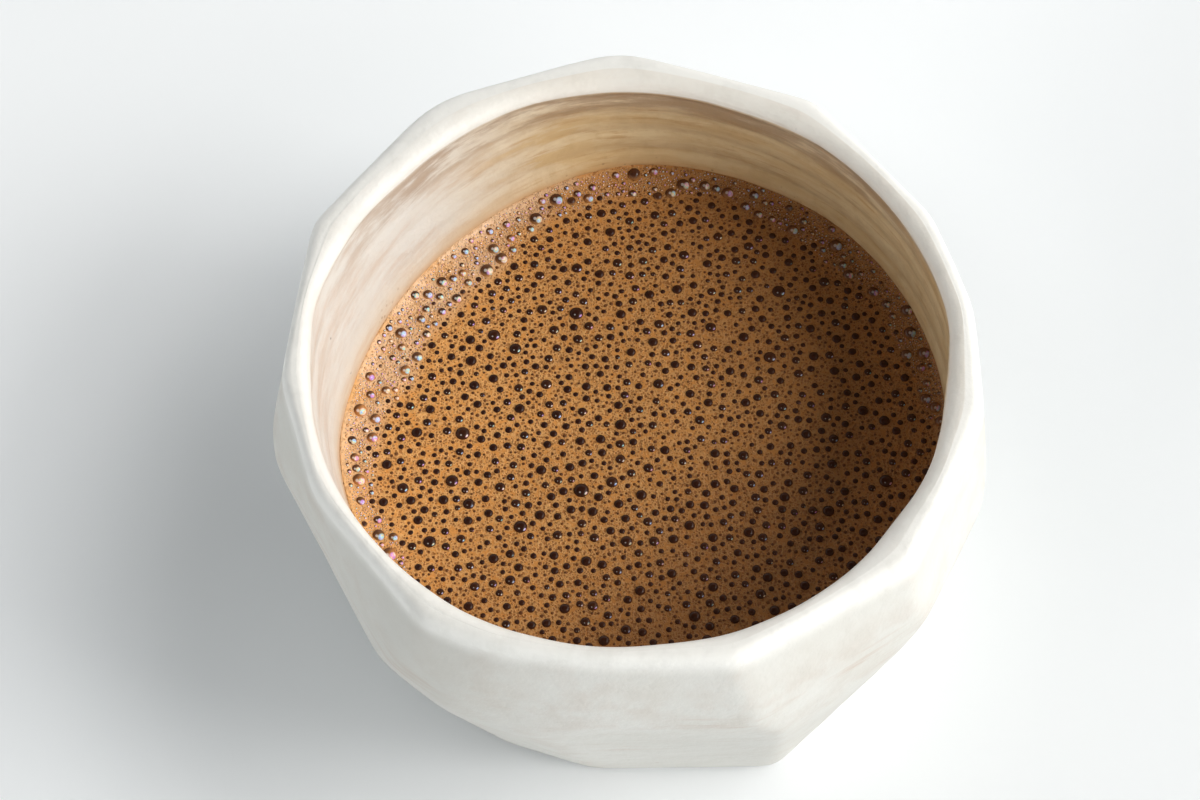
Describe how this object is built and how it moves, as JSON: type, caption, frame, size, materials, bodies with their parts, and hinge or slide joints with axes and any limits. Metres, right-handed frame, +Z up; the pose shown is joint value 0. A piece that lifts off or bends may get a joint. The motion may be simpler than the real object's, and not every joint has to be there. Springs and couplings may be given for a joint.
{
  "type": "latte in a cup",
  "caption": "Frothed brown latte in a hand-cut handleless white stoneware cup, with uneven flat facets, a soft lip, finger rings inside and one side pressed in",
  "frame": {"origin": "on the table, on the axis the cup was thrown about, at the middle of the underside", "axes": "+Z up out of the mouth, -Y towards the viewer who sees the long front facet"},
  "size_m": [0.0929, 0.0912, 0.064],
  "materials": {
    "stoneware": "white stoneware with a thin satin glaze that breaks warm on the edges",
    "latte": "brown milky drink",
    "froth": "wet tan froth of fine bubbles"
  },
  "bodies": {
    "root": {"cup": "stoneware", "latte": "latte", "foam": "froth"}
  },
  "joints": []
}
